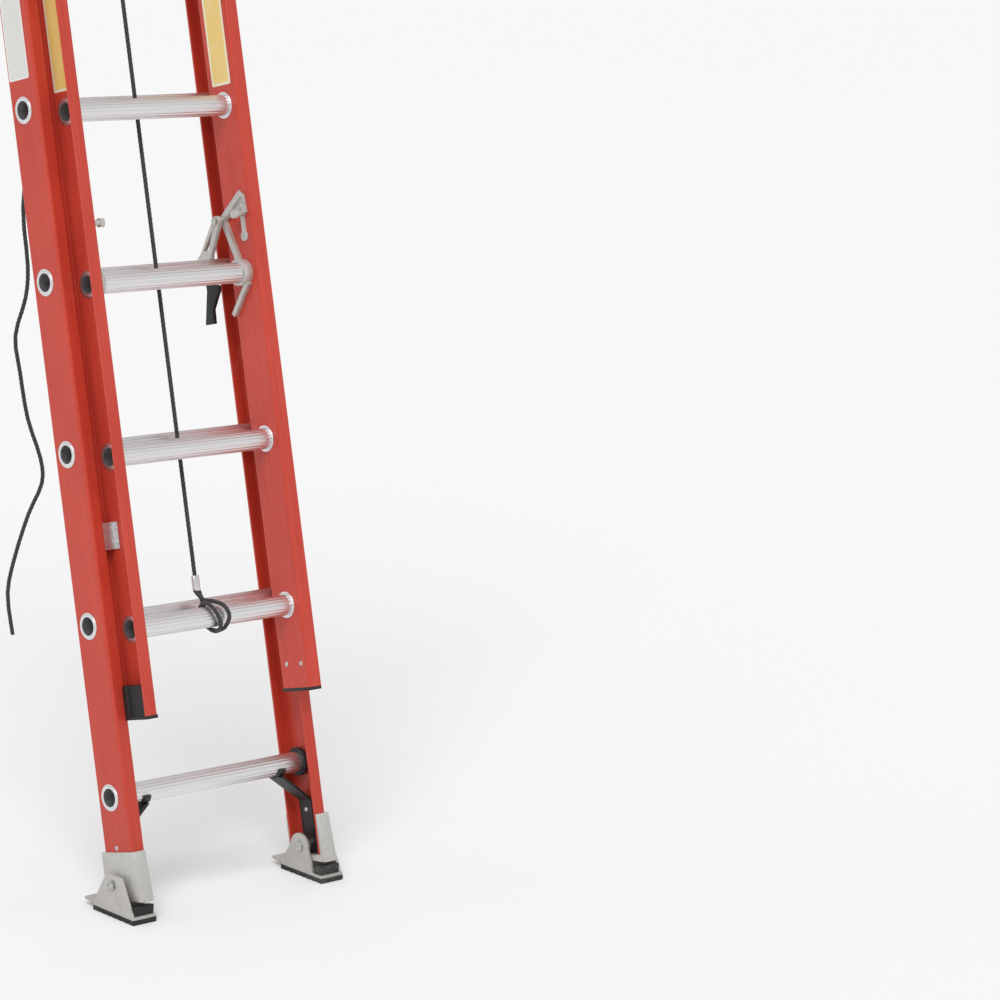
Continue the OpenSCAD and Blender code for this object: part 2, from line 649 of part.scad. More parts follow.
// Black finger hung on the hook's rear end; its foot reaches forward under the rung.
module lock_flipper(side) color("#2a2a2c") lean() on_side(side)
    difference() {
        slab(flipper_x0, flipper_x0 + flipper_t) {
            translate(flip_pin) circle(8);
            translate(flip_pin)
                polygon([
                    [-8, 0], [8, 0], [6, -24], [-3, -40], [-4, -50], [12, -flipper_l], [-13, -flipper_l],
                    [-14, -86], [-37, -54], [-39, -45], [-15, -38], [-9, -24]]);
        }
        rod(flipper_x0 - 1, flipper_x0 + flipper_t + 1, flip_pin, pin_r + fit);
    }

// ---- feet ----

// The feet stand level, so they are drawn in the ladder's own frame.
module shoe(side) color("#b3b1ab") on_side(side)
    difference() {
        union() {
            slab(shoe_x1 - ear_t, shoe_x1)
                polygon([
                    [pad_front + 1, pad_t], [pad_rear, pad_t], [pad_rear, sole_top + 1],
                    [foot_bolt[0] + 15, foot_bolt[1] + 21], [foot_bolt[0] - 27, foot_bolt[1] + 21]]);
            slab(shoe_x0, shoe_x0 + ear_t) {
                polygon([
                    [-ear_r - 9, pad_t], [foot_bolt[0] - ear_r, foot_bolt[1]], [foot_bolt[0] + ear_r, foot_bolt[1]],
                    [pad_rear, sole_top + 3], [pad_rear, pad_t]]);
                translate(foot_bolt) circle(ear_r);
            }
            block([shoe_x0, pad_front + 1, pad_t], [shoe_x1, pad_rear, sole_top]);
            // blunt spur bar behind the pad
            slab(shoe_x0 + 6, shoe_x1 - 6)
                polygon([
                    [pad_rear - 4, pad_t], [pad_rear + spur_l - 4, pad_t + 1], [pad_rear + spur_l, pad_t + 4],
                    [pad_rear + spur_l - 3, sole_top + 2], [pad_rear - 4, sole_top]]);
        }
        rod(shoe_x0 - 1, shoe_x1 + 1, foot_bolt, bolt_r + fit);
        // groove beside the outer ear's broad front rib
        slab(shoe_x1 - 1.8, shoe_x1 + 1)
            polygon([
                [pad_front + 33, pad_t + 17], [foot_bolt[0] - 10, foot_bolt[1] + 13], [foot_bolt[0], foot_bolt[1] + 13],
                [pad_front + 49, pad_t + 17]]);
        for (p = stud_at) translate([p[0], p[1], pad_t - 1]) cylinder(r = stud_r + fit, h = sole_t + 2);
    }

// Rubber pad under a shoe, grooved across; studs through the sole plate tie it to the toe block on top.
module pad(side) color("#2b2b2c") on_side(side)
    difference() {
        union() {
            block([shoe_x0, pad_front, 0], [shoe_x1, pad_rear, pad_t - fit]);
            slab(shoe_x0 + 2, shoe_x1 - ear_t - run)
                polygon([
                    [pad_front + 6, sole_top + fit], [pad_front + 6, sole_top + toe_h],
                    [pad_front + 4 + toe_back, sole_top + toe_h - 3], [pad_front + 6 + toe_back, sole_top + fit]]);
            for (p = stud_at) translate([p[0], p[1], pad_t - 1]) cylinder(r = stud_r, h = sole_t + 2);
        }
        for (y = [pad_front + 13 : 16 : pad_rear - 12])
            block([shoe_x0 - 1, y, -1], [shoe_x1 + 1, y + groove_w, groove_h]);
    }

// ---- rope ----

module rope_run() color("#262628") lean()
    translate([0, rope_y, run_z0]) cylinder(r = rope_d / 2, h = wheel_z - run_z0);

module rope_tail() color("#262628")
    tube(concat(wrap, smooth(tail_route, 3)), rope_d / 2, [1, 0, 0]);

// The eye at the rope's end passes once round the lowest fly rung; both its legs rise into the ferrule.
module rope_eye() color("#262628") lean() {
    apex = [rope_y, ferrule_z - 10];
    away = apex - [fly_mid, fly_first];
    reach = norm(away);
    bearing = atan2(away[1], away[0]);
    half = acos(eye_r / reach);
    steps = 20;
    bend = [for (i = [0 : steps])
        let (t = i / steps, a = bearing + half + (360 - 2 * half) * t)
        [lerp(-5, 5, t), fly_mid + eye_r * cos(a), fly_first + eye_r * sin(a)]];
    tube(
        concat(
            [[-leg_x, rope_y, ferrule_z], [-leg_x, rope_y, ferrule_z - 6]], bend,
            [[leg_x, rope_y, ferrule_z - 6], [leg_x, rope_y, ferrule_z]]),
        leg_r, [1, 0, 0]);
}

module rope_ferrule() color("#c2c4c6") lean()
    translate([0, rope_y, ferrule_z]) linear_extrude(ferrule_l) {
        for (x = [-3, 3]) translate([x, 0]) circle(5);
        translate([-3, -5]) square([6, 10]);
    }

// ---- nodes ----

base_rail(-1);  // base_rail_left
base_rail(1);  // base_rail_right
for (i = [1 : rung_count]) {
    base_rung(i);
    fly_rung(i);
}
base_swages();
boot(-1);  // boot_left
boot(1);  // boot_right
foot_bolts();
foot_nuts();
foot_spacers();
brace(-1);  // brace_left
brace(1);  // brace_right
brace_rivets();
brace_collars();
base_top_caps();
base_top_guides();
guide_rivets();
pulley_bracket();
pulley_clamp();
pulley_axle();
pulley_wheel();
fly_rail(-1);  // fly_rail_left
fly_rail(1);  // fly_rail_right
fly_swages();
fly_guide(-1);  // fly_guide_left
fly_guide(1);  // fly_guide_right
fly_guide_rivets();
fly_top_caps();
rail_clips();
lock_bracket(-1);  // lock_bracket_left
lock_bracket(1);  // lock_bracket_right
lock_pins();
lock_rivets();
lock_springs();
lock_hook(-1);  // lock_hook_left
lock_hook(1);  // lock_hook_right
lock_flipper(-1);  // lock_flipper_left
lock_flipper(1);  // lock_flipper_right
shoe(-1);  // shoe_left
shoe(1);  // shoe_right
pad(-1);  // pad_left
pad(1);  // pad_right
rope_run();
rope_tail();
rope_eye();
rope_ferrule();
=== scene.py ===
"""Looks of a two-section extension ladder with red fibreglass rails and fluted aluminium rungs.

Everything is in metres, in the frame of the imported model: X across the ladder, +Y to the wall, +Z up.
The rails lean, so places on them are given in the rail frame: y to the rear, z up the rails.
"""
import json
from math import atan2, cos, pi, radians, sin

import bmesh
import bpy
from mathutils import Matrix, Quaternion, Vector


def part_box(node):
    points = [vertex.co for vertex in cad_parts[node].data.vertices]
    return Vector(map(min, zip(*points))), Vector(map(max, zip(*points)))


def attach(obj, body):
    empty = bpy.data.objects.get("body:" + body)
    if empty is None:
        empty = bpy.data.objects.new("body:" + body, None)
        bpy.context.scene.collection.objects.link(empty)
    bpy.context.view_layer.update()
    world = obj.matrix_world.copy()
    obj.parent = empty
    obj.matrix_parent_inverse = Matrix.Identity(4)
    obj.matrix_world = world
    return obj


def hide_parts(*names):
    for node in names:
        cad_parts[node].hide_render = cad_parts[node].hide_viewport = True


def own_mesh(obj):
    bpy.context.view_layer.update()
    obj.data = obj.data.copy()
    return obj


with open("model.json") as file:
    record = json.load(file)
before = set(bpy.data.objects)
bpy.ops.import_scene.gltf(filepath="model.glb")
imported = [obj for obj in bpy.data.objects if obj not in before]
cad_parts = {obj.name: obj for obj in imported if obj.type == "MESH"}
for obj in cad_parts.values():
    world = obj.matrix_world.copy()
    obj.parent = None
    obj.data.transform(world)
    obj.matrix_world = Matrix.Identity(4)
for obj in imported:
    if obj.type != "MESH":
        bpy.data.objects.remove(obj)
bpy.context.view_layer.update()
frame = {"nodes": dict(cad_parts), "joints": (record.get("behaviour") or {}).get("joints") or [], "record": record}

# ---- places read from the frame ----

JOINTS = {joint["name"]: joint for joint in frame["joints"]}
UP = Vector(JOINTS["fly_slide"]["axis"]).normalized()       # up the rails
BACK = Vector((0, UP.z, -UP.y))                             # square to the rails, to the rear
LEAN = atan2(UP.y, UP.z)

RUNG_BACK = 0.004          # base rungs behind the middle of the rails
FIRST_RUNG = 0.158         # lowest rung over the rail frame's origin
RAIL_T = 0.004             # thickness of the fibreglass


def middle(node):
    """The middle of a CAD node's box."""
    low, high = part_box(node)
    return (low + high) / 2


ORIGIN = middle("base_rung_1") - BACK * RUNG_BACK - UP * FIRST_RUNG


def at(x, y, z):
    """A point of the rail frame, in the object's frame."""
    return Vector((x, 0, 0)) + ORIGIN + BACK * y + UP * z


def in_rails(point):
    """The y and z of the rail frame of a point."""
    away = point - ORIGIN
    return away.dot(BACK), away.dot(UP)


WEB_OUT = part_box("base_rail_right")[1].x
WEB_IN = WEB_OUT - RAIL_T
FLY_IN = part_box("fly_rail_right")[0].x
FLY_OUT = FLY_IN + RAIL_T
RUNGS = 8
RUNG_R = (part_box("base_rung_1")[1].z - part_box("base_rung_1")[0].z) / 2
FLY_Y, FLY_FIRST = in_rails(middle("fly_rung_1"))
ROPE_Y = in_rails(middle("rope_run"))[0]
ROPE_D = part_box("rope_run")[1].x * 2
WHEEL = middle("pulley_wheel")
WHEEL_PITCH_R = in_rails(WHEEL)[0] - ROPE_Y
FERRULE_Z = in_rails(middle("rope_ferrule"))[1]
FERRULE_L = 0.028

# ---- camera ----

CAMERA_AT = Vector((-4.186, -5.062, 2.099))
CAMERA_TURN = radians(-43.68)      # azimuth, 0 looks along +Y
CAMERA_RISE = radians(11.62)       # elevation over the horizon
CAMERA_ROLL = radians(2.907)
CAMERA_LENS = 136.38               # mm, on a sensor 36 mm wide


def place_camera():
    """The camera that sees the ladder's lower half at the left of the frame."""
    data = bpy.data.cameras.new("camera")
    data.lens = CAMERA_LENS
    data.sensor_width = 36
    camera = bpy.data.objects.new("camera", data)
    look = Vector((
        -sin(CAMERA_TURN) * cos(CAMERA_RISE), cos(CAMERA_TURN) * cos(CAMERA_RISE), -sin(CAMERA_RISE)))
    camera.location = CAMERA_AT
    camera.rotation_mode = "QUATERNION"
    camera.rotation_quaternion = look.to_track_quat("-Z", "Y") @ Quaternion((0, 0, 1), CAMERA_ROLL)
    bpy.context.scene.collection.objects.link(camera)
    bpy.context.scene.camera = camera


place_camera()

# ---- node trees ----


class Tree:
    """A node tree being built: add() makes a node, sets or links its inputs and returns an output."""

    def __init__(self, tree):
        self.tree = tree

    def add(self, kind, inputs=None, out=0, **settings):
        node = self.tree.nodes.new(kind)
        for name, value in settings.items():
            setattr(node, name, value)
        for key, value in (inputs or {}).items():
            if isinstance(value, bpy.types.NodeSocket):
                self.tree.links.new(value, node.inputs[key])
            elif isinstance(value, list):
                for socket in value:
                    self.tree.links.new(socket, node.inputs[key])
            else:
                node.inputs[key].default_value = value
        return node.outputs[out]

    def maths(self, operation, first, second=0.0, third=0.0):
        kind = "ShaderNodeMath"
        return self.add(kind, {0: first, 1: second, 2: third}, operation=operation)

    def finish(self, sockets):
        """Links the tree's outputs, in their order."""
        node = self.tree.nodes.new("NodeGroupOutput")
        for index, socket in enumerate(sockets):
            self.tree.links.new(socket, node.inputs[index])


def group_tree(kind, name, inputs, outputs):
    """An empty node group with named sockets, and its input sockets by name."""
    tree = bpy.data.node_groups.new(name, kind)
    for label, socket_kind, value in inputs:
        socket = tree.interface.new_socket(label, in_out="INPUT", socket_type="NodeSocket" + socket_kind)
        if value is not None:
            socket.default_value = value
    for label, socket_kind in outputs:
        tree.interface.new_socket(label, in_out="OUTPUT", socket_type="NodeSocket" + socket_kind)
    entry = tree.nodes.new("NodeGroupInput")
    return Tree(tree), {socket.name: socket for socket in entry.outputs if socket.name}


def grown(name, tree, points, values, edges=()):
    """A plain mesh grown by a geometry tree on the points, whose inputs are set by identifier."""
    mesh = bpy.data.meshes.new(name)
    mesh.from_pydata([tuple(p) for p in points], list(edges), [])
    piece = bpy.data.objects.new(name, mesh)
    bpy.context.scene.collection.objects.link(piece)
    modifier = piece.modifiers.new("growth", "NODES")
    modifier.node_group = tree
    for item in tree.interface.items_tree:
        if item.in_out == "INPUT" and item.name in values:
            modifier[item.identifier] = values[item.name]
    evaluated = piece.evaluated_get(bpy.context.evaluated_depsgraph_get())
    result = bpy.data.meshes.new_from_object(evaluated)
    piece.modifiers.clear()
    piece.data = result
    face_out(result)
    return piece


def face_out(mesh):
    """Turns a closed mesh's faces outwards, after its doubles are merged."""
    work = bmesh.new()
    work.from_mesh(mesh)
    bmesh.ops.remove_doubles(work, verts=work.verts, dist=1e-6)
    bmesh.ops.recalc_face_normals(work, faces=work.faces)
    work.to_mesh(mesh)
    work.free()


def smooth(mesh, angle=35):
    """Smooth shading, with edges sharper than the angle left crisp."""
    mesh.polygons.foreach_set("use_smooth", [True] * len(mesh.polygons))
    mesh.set_sharp_from_angle(angle=radians(angle))


# ---- shader groups ----

def build_streaks():
    """Fine lines along one direction, broken up along their length, and a broad mottle under them."""
    tree, given = group_tree(
        "ShaderNodeTree", "drawn_streaks",
        [("Turn", "Vector", (0.0, 0.0, 0.0)), ("Stretch", "Vector", (400.0, 400.0, 5.0)),
         ("Mottle", "Float", 9.0)],
        [("Lines", "Float"), ("Mottle", "Float")])
    coordinates = tree.add("ShaderNodeTexCoord", out=3)
    turned = tree.add("ShaderNodeMapping", {"Vector": coordinates, "Rotation": given["Turn"]})
    stretched = tree.add(
        "ShaderNodeVectorMath", {0: turned, 1: given["Stretch"]}, operation="MULTIPLY")
    lines = tree.add(
        "ShaderNodeTexNoise", {"Vector": stretched, "Scale": 1.0, "Detail": 4.0, "Roughness": 0.6})
    mottle = tree.add(
        "ShaderNodeTexNoise", {"Vector": turned, "Scale": given["Mottle"], "Detail": 3.0})
    tree.finish([lines, mottle])
    return tree.tree


def build_scuffs():
    """Where handling has rubbed a surface, and the grime that settles low on it."""
    tree, given = group_tree(
        "ShaderNodeTree", "scuffs_and_grime",
        [("Scale", "Float", 30.0), ("Amount", "Float", 0.5), ("Grime Top", "Float", 0.3)],
        [("Scuffs", "Float"), ("Grime", "Float")])
    coordinates = tree.add("ShaderNodeTexCoord", out=3)
    patches = tree.add("ShaderNodeTexNoise", {"Vector": coordinates, "Scale": 7.0, "Detail": 2.0})
    scratches = tree.add(
        "ShaderNodeTexNoise",
        {"Vector": coordinates, "Scale": given["Scale"], "Detail": 8.0, "Roughness": 0.75})
    worn = tree.maths("MULTIPLY", patches, scratches)
    edge = tree.maths("SUBTRACT", 0.42, tree.maths("MULTIPLY", given["Amount"], 0.16))
    scuffs = tree.maths("MULTIPLY", tree.maths("SUBTRACT", worn, edge), 6.0)
    height = tree.add("ShaderNodeSeparateXYZ", {0: coordinates}, out=2)
    low = tree.maths("SUBTRACT", 1.0, tree.maths("DIVIDE", height, given["Grime Top"]))
    grime = tree.maths("MULTIPLY", tree.add("ShaderNodeClamp", {0: low}), patches)
    tree.finish([tree.add("ShaderNodeClamp", {0: scuffs}), grime])
    return tree.tree


def build_grain():
    """The fine pebbling of a cast or moulded surface."""
    tree, given = group_tree(
        "ShaderNodeTree", "cast_grain",
        [("Scale", "Float", 900.0), ("Coarse", "Float", 120.0)],
        [("Height", "Float"), ("Tone", "Float")])
    coordinates = tree.add("ShaderNodeTexCoord", out=3)
    fine = tree.add(
        "ShaderNodeTexNoise", {"Vector": coordinates, "Scale": given["Scale"], "Detail": 2.0})
    coarse = tree.add(
        "ShaderNodeTexNoise", {"Vector": coordinates, "Scale": given["Coarse"], "Detail": 3.0})
    height = tree.maths("ADD", fine, tree.maths("MULTIPLY", coarse, 0.8))
    tree.finish([height, coarse])
    return tree.tree


STREAKS = build_streaks()
SCUFFS = build_scuffs()
GRAIN = build_grain()


class Material(Tree):
    """A material's tree, with its Principled BSDF made first; constants go straight on its sockets."""

    def __init__(self, name, **constants):
        self.material = bpy.data.materials.new(name)
        self.material.use_nodes = True
        super().__init__(self.material.node_tree)
        self.shader = self.tree.nodes["Principled BSDF"]
        for label, value in constants.items():
            self.shader.inputs[label.replace("_", " ").title()].default_value = value

    def group(self, group, values):
        node = self.tree.nodes.new("ShaderNodeGroup")
        node.node_tree = group
        for label, value in values.items():
            if isinstance(value, bpy.types.NodeSocket):
                self.tree.links.new(value, node.inputs[label])
            else:
                node.inputs[label].default_value = value
        return node.outputs

    def mix(self, share, first, second):
        return self.add(
            "ShaderNodeMix", {0: share, 6: first, 7: second}, out=2, data_type="RGBA")

    def between(self, value, low, high):
        """The value 0 to 1 mapped to low to high."""
        return self.add("ShaderNodeMapRange", {0: value, 3: low, 4: high})

    def set(self, label, socket):
        self.tree.links.new(socket, self.shader.inputs[label])

    def bump(self, height, distance, strength=1.0, under=None):
        inputs = {"Height": height, "Distance": distance, "Strength": strength}
        if under is not None:
            inputs["Normal"] = under
        return self.add("ShaderNodeBump", inputs)


def colour(red, green, blue):
    """An opaque colour from linear red, green and blue."""
    return (red, green, blue, 1.0)


def fibreglass(name, deep, bright):
    """Pultruded polyester: a glossy red skin over glass fibres that run up the rail."""
    m = Material(name, coat_weight=0.12, coat_roughness=0.2)
    m.shader.inputs["Specular IOR Level"].default_value = 0.35
    streaks = m.group(STREAKS, {"Turn": (LEAN, 0.0, 0.0), "Stretch": (420.0, 420.0, 4.0), "Mottle": 6.0})
    worn = m.group(SCUFFS, {"Scale": 45.0, "Amount": 0.25, "Grime Top": 0.35})
    fibres = m.maths("MULTIPLY", streaks["Lines"], 0.65)
    shade = m.maths("ADD", fibres, m.maths("MULTIPLY", streaks["Mottle"], 0.35))
    skin = m.mix(m.between(shade, -0.4, 1.4), deep, bright)
    chalked = m.mix(m.maths("MULTIPLY", worn["Scuffs"], 0.12), skin, colour(0.82, 0.42, 0.36))
    grime = m.maths("MULTIPLY", worn["Grime"], 0.25)
    m.set("Base Color", m.mix(grime, chalked, colour(0.10, 0.04, 0.03)))
    m.set("Roughness", m.between(streaks["Lines"], 0.30, 0.48))
    m.set("Normal", m.bump(streaks["Lines"], 0.00012))
    return m.material


def drawn_aluminium(name, tone, stretch, rough):
    """Extruded aluminium: bright, with drawing lines along its length."""
    m = Material(name, metallic=1.0)
    streaks = m.group(STREAKS, {"Stretch": stretch, "Mottle": 14.0})
    worn = m.group(SCUFFS, {"Scale": 90.0, "Amount": 0.6, "Grime Top": 0.2})
    base = m.mix(m.between(streaks["Lines"], 0.0, 1.0), colour(*[0.88 * t for t in tone]), colour(*tone))
    scuffs = worn["Scuffs"]
    m.set("Base Color", m.mix(m.maths("MULTIPLY", scuffs, 0.2), base, colour(0.55, 0.55, 0.56)))
    drawn = m.between(streaks["Lines"], rough - 0.06, rough + 0.08)
    m.set("Roughness", m.maths("ADD", drawn, m.maths("MULTIPLY", scuffs, 0.12)))
    m.set("Normal", m.bump(streaks["Lines"], 0.00008))
    return m.material


def cast_aluminium(name):
    """Sand-cast feet: pale grey, matt and pebbled."""
    m = Material(name, metallic=0.55)
    grain = m.group(GRAIN, {"Scale": 1100.0, "Coarse": 140.0})
    worn = m.group(SCUFFS, {"Scale": 60.0, "Amount": 0.7, "Grime Top": 0.12})
    base = m.mix(grain["Tone"], colour(0.47, 0.46, 0.44), colour(0.66, 0.65, 0.62))
    rubbed = m.mix(m.maths("MULTIPLY", worn["Scuffs"], 0.5), base, colour(0.80, 0.79, 0.77))
    m.set("Base Color", m.mix(m.maths("MULTIPLY", worn["Grime"], 0.5), rubbed, colour(0.20, 0.18, 0.16)))
    m.set("Roughness", m.between(grain["Tone"], 0.42, 0.60))
    m.set("Normal", m.bump(grain["Height"], 0.00025, 0.8))
    return m.material


def plated_steel(name, tone, rough):
    """Zinc plating: a faint crystal mottle over steel."""
    m = Material(name, metallic=1.0)
    grain = m.group(GRAIN, {"Scale": 500.0, "Coarse": 70.0})
    worn = m.group(SCUFFS, {"Scale": 120.0, "Amount": 0.5, "Grime Top": 0.2})
    base = m.mix(grain["Tone"], colour(*[0.75 * t for t in tone]), colour(*tone))
    m.set("Base Color", m.mix(m.maths("MULTIPLY", worn["Scuffs"], 0.3), base, colour(0.38, 0.37, 0.35)))
    m.set("Roughness", m.between(grain["Tone"], rough - 0.05, rough + 0.12))
    m.set("Normal", m.bump(grain["Height"], 0.0001, 0.5))
    return m.material


def painted_black(name):
    """Black powder coat on steel, rubbed paler where it is handled."""
    m = Material(name, metallic=0.0)
    grain = m.group(GRAIN, {"Scale": 1500.0, "Coarse": 260.0})
    worn = m.group(SCUFFS, {"Scale": 150.0, "Amount": 0.6, "Grime Top": 0.2})
    rubbed = m.maths("MULTIPLY", worn["Scuffs"], 0.5)
    m.set("Base Color", m.mix(rubbed, colour(0.014, 0.014, 0.015), colour(0.09, 0.09, 0.09)))
    m.set("Roughness", m.between(grain["Tone"], 0.38, 0.55))
    m.set("Normal", m.bump(grain["Height"], 0.00012, 0.7))
    return m.material


def moulded_plastic(name):
    """Matt black polymer with a spark-eroded texture."""
    m = Material(name)
    grain = m.group(GRAIN, {"Scale": 2200.0, "Coarse": 300.0})
    worn = m.group(SCUFFS, {"Scale": 200.0, "Amount": 0.4, "Grime Top": 0.2})
    rubbed = m.maths("MULTIPLY", worn["Scuffs"], 0.4)
    m.set("Base Color", m.mix(rubbed, colour(0.012, 0.012, 0.013), colour(0.06, 0.06, 0.06)))
    m.set("Roughness", m.between(grain["Tone"], 0.45, 0.65))
    m.set("Normal", m.bump(grain["Height"], 0.00015, 0.8))
    return m.material


def tread_rubber(name):
    """Dusty black rubber."""
    m = Material(name)
    grain = m.group(GRAIN, {"Scale": 1200.0, "Coarse": 180.0})
    worn = m.group(SCUFFS, {"Scale": 80.0, "Amount": 0.8, "Grime Top": 0.05})
    dust = m.maths("MULTIPLY", worn["Scuffs"], 0.6)
    m.set("Base Color", m.mix(dust, colour(0.018, 0.018, 0.018), colour(0.12, 0.115, 0.105)))
    m.set("Roughness", m.between(grain["Tone"], 0.7, 0.9))
    m.set("Normal", m.bump(grain["Height"], 0.0003, 0.9))
    return m.material


YARNS = 11.0               # yarns seen across one turn of the rope
YARN_LENGTH = 0.013        # length of rope in which a yarn crosses its strand


def rope_fibre(name):
    """Black filament yarns, twisted against the lay of the strands."""
    m = Material(name, sheen_weight=0.35, sheen_roughness=0.4)
    along = m.add("ShaderNodeAttribute", out=2, attribute_name="along")
    around = m.add("ShaderNodeAttribute", out=2, attribute_name="around")
    turns = m.maths("SUBTRACT", m.maths("MULTIPLY", around, YARNS), m.maths("DIVIDE", along, YARN_LENGTH))
    yarns = m.between(m.maths("SINE", m.maths("MULTIPLY", turns, 2 * pi)), 0.0, 1.0)
    coordinates = m.add("ShaderNodeTexCoord", out=3)
    fuzz = m.add("ShaderNodeTexNoise", {"Vector": coordinates, "Scale": 1400.0, "Detail": 3.0})
    tone = m.maths("MULTIPLY", m.maths("ADD", m.maths("MULTIPLY", yarns, 0.5), 0.5), fuzz)
    m.set("Base Color", m.mix(tone, colour(0.008, 0.008, 0.009), colour(0.075, 0.077, 0.08)))
    m.set("Roughness", m.between(fuzz, 0.5, 0.8))
    m.set("Normal", m.bump(m.maths("ADD", yarns, m.maths("MULTIPLY", fuzz, 0.6)), 0.0004))
    return m.material


def printed_label(name, field, border):
    """A blank vinyl label, a little scuffed; the mesh says which faces are printed."""
    m = Material(name, coat_weight=0.3, coat_roughness=0.25)
    worn = m.group(SCUFFS, {"Scale": 150.0, "Amount": 0.7, "Grime Top": 0.2})
    grain = m.group(GRAIN, {"Scale": 700.0, "Coarse": 40.0})
    printed = m.add("ShaderNodeAttribute", out=2, attribute_name="printed")
    ink = m.mix(printed, border, field)
    faded = m.mix(m.between(grain["Tone"], 0.0, 0.3), ink, colour(0.80, 0.79, 0.74))
    m.set("Base Color", m.mix(m.maths("MULTIPLY", worn["Scuffs"], 0.35), faded, colour(0.55, 0.52, 0.46)))
    m.set("Roughness", m.between(grain["Tone"], 0.35, 0.5))
    m.set("Normal", m.bump(grain["Height"], 0.00005, 0.5))
    return m.material


MATERIALS = {
    "base_fibreglass": fibreglass("base_fibreglass", colour(0.40, 0.026, 0.014), colour(0.62, 0.066, 0.036)),
    "fly_fibreglass": fibreglass("fly_fibreglass", colour(0.41, 0.028, 0.017), colour(0.64, 0.074, 0.043)),
    "rung_aluminium": drawn_aluminium("rung_aluminium", (0.86, 0.86, 0.87), (5.0, 500.0, 500.0), 0.36),
    "cast_aluminium": cast_aluminium("cast_aluminium"),
    "bright_aluminium": drawn_aluminium("bright_aluminium", (0.80, 0.80, 0.81), (200.0, 200.0, 60.0), 0.36),
    "zinc_steel": plated_steel("zinc_steel", (0.62, 0.62, 0.60), 0.34),
    "black_steel": painted_black("black_steel"),
    "black_plastic": moulded_plastic("black_plastic"),
    "pad_rubber": tread_rubber("pad_rubber"),
    "rope": rope_fibre("rope"),
    "grey_label": printed_label("grey_label", colour(0.62, 0.62, 0.60), colour(0.74, 0.74, 0.72)),
    "yellow_label": printed_label("yellow_label", colour(0.80, 0.55, 0.09), colour(0.80, 0.74, 0.52)),
}
SLOT_OF = {part["node"]: part["material_slot"] for part in frame["record"]["subparts"]}


def dress(piece, slot, body, *nodes):
    """Gives a new piece its material and slot, rides it on its body and lets it stand for CAD nodes."""
    piece.data.materials.clear()
    piece.data.materials.append(MATERIALS[slot])
    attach(piece, body)
    if nodes:
        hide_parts(*nodes)
    return piece


for node, thing in frame["nodes"].items():
    thing.data.materials.clear()
    thing.data.materials.append(MATERIALS[SLOT_OF[node]])

# ---- rope ----

LAY = 0.027                # length of one turn of the rope's strands
ROPE_STEP = 0.0021         # length of one ring of the rope's mesh
WRAP_STEPS = 10            # steps of the rope over the wheel
RUN_STEPS = 60             # steps of the taut run
FERRULE_GRIP = 0.006       # length of the run inside the ferrule
EYE_LEG = 0.0045           # the eye's legs, each side of the ferrule's middle
EYE_GRIP = 0.002           # length of the eye's legs inside the ferrule
EYE_GAP = 0.0015           # slack between the eye and its rung
# The tail's route down behind the ladder: across, behind the wheel's rear, and as a share of its height.
TAIL_ROUTE = [
    (0, 0, 0.944), (0, 0, 0.88), (0, 0, 0.815), (0.002, 0.001, 0.751), (0.004, 0.002, 0.687),
    (0, 0.002, 0.622), (-0.008, 0.001, 0.558), (-0.020, 0, 0.502), (-0.006, 0, 0.455),
    (-0.010, -0.001, 0.429), (-0.032, -0.002, 0.399), (-0.018, 0, 0.369), (0.004, 0.002, 0.33),
    (0.036, 0.002, 0.296), (0.040, 0.001, 0.275), (0.010, 0, 0.251), (-0.020, -0.001, 0.217),
    (-0.034, 0, 0.187), (-0.020, 0, 0.152)]


def smooth_through(route, steps):
    """A Catmull-Rom curve through the route's points."""
    route = [Vector(p) for p in route]
    points = []
    for i in range(len(route) - 1):
        before, after = route[max(i - 1, 0)], route[min(i + 2, len(route) - 1)]
        start, end = route[i], route[i + 1]
        for k in range(steps):
            t = k / steps
            points.append(0.5 * (
                2 * start + (end - before) * t + (2 * before - 5 * start + 4 * end - after) * t * t
                + (3 * start - before - 3 * end + after) * t ** 3))
    return points + [route[-1]]


